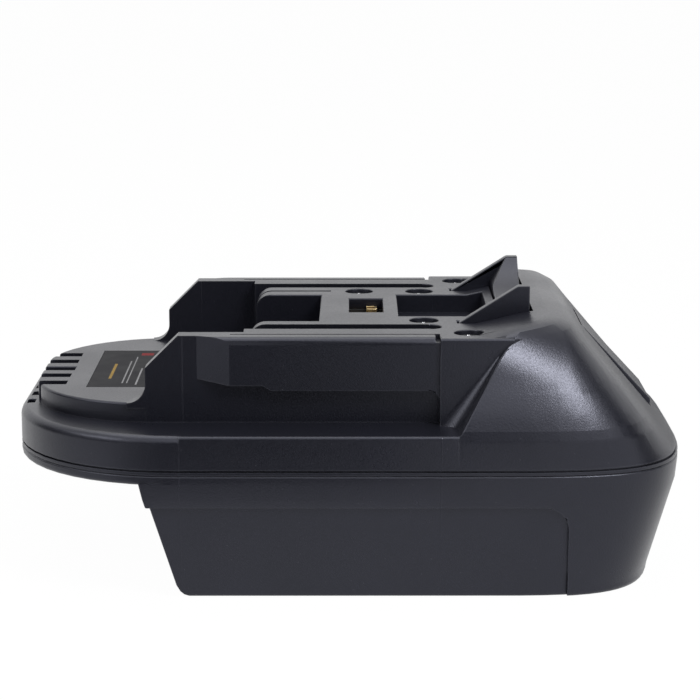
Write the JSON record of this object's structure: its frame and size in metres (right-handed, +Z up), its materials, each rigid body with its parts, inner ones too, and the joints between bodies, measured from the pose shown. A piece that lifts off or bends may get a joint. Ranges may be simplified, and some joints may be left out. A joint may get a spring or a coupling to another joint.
{
  "type": "tool battery adapter",
  "caption": "Slide-on adapter housing that carries a battery in a channel underneath and clips into a tool's foot by rails and a sprung latch on top.",
  "frame": {"origin": "on the surface that the adapter rests on, under the middle of its outline", "axes": "+X along the slide towards the hood and latch button, +Y across, +Z up"},
  "size_m": [0.126, 0.086, 0.0543],
  "materials": {
    "housing_plastic": "fine moulded texture",
    "latch_plastic": "fine moulded texture",
    "block_plastic": "plain moulding",
    "contact_brass": "bright rolled strip",
    "spring_steel": "drawn wire",
    "board_laminate": "solder mask",
    "component_black": "moulded package",
    "sink_aluminium": "as extruded",
    "capacitor_can": "drawn can",
    "lead_red": "soft insulation",
    "lead_black": "soft insulation",
    "lead_yellow": "soft insulation",
    "screw_black": "black oxide",
    "screw_steel": "zinc plated",
    "label_film": "smooth film"
  },
  "bodies": {
    "housing": {"upper_housing": "housing_plastic", "lower_housing": "housing_plastic", "latch_springs": "spring_steel", "tool_terminal_block": "block_plastic", "tool_contact_positive": "contact_brass", "tool_contact_negative": "contact_brass", "tool_contact_signal": "contact_brass", "battery_terminal_block": "block_plastic", "battery_blade_positive": "contact_brass", "battery_blade_negative": "contact_brass", "battery_blade_signal": "contact_brass", "circuit_board": "board_laminate", "power_transistors": "component_black", "heat_sink": "sink_aluminium", "filter_capacitor": "capacitor_can", "control_chip": "component_black", "board_resistors": "component_black", "positive_input_lead": "lead_red", "negative_input_lead": "lead_black", "positive_output_lead": "lead_red", "negative_output_lead": "lead_black", "signal_lead": "lead_yellow", "tower_screws": "screw_black", "hood_screws": "screw_black", "flange_screws": "screw_black", "board_screws": "screw_steel", "label_plate": "label_film"},
    "latch": {"release_latch": "latch_plastic"}
  },
  "joints": [
    {"name": "latch_press", "type": "slide", "parent": "housing", "child": "latch", "axis": [0, 0, -1], "range_m": [0, 0.007], "stiffness_N_per_m": 300, "deforming": ["latch_springs"]}
  ]
}
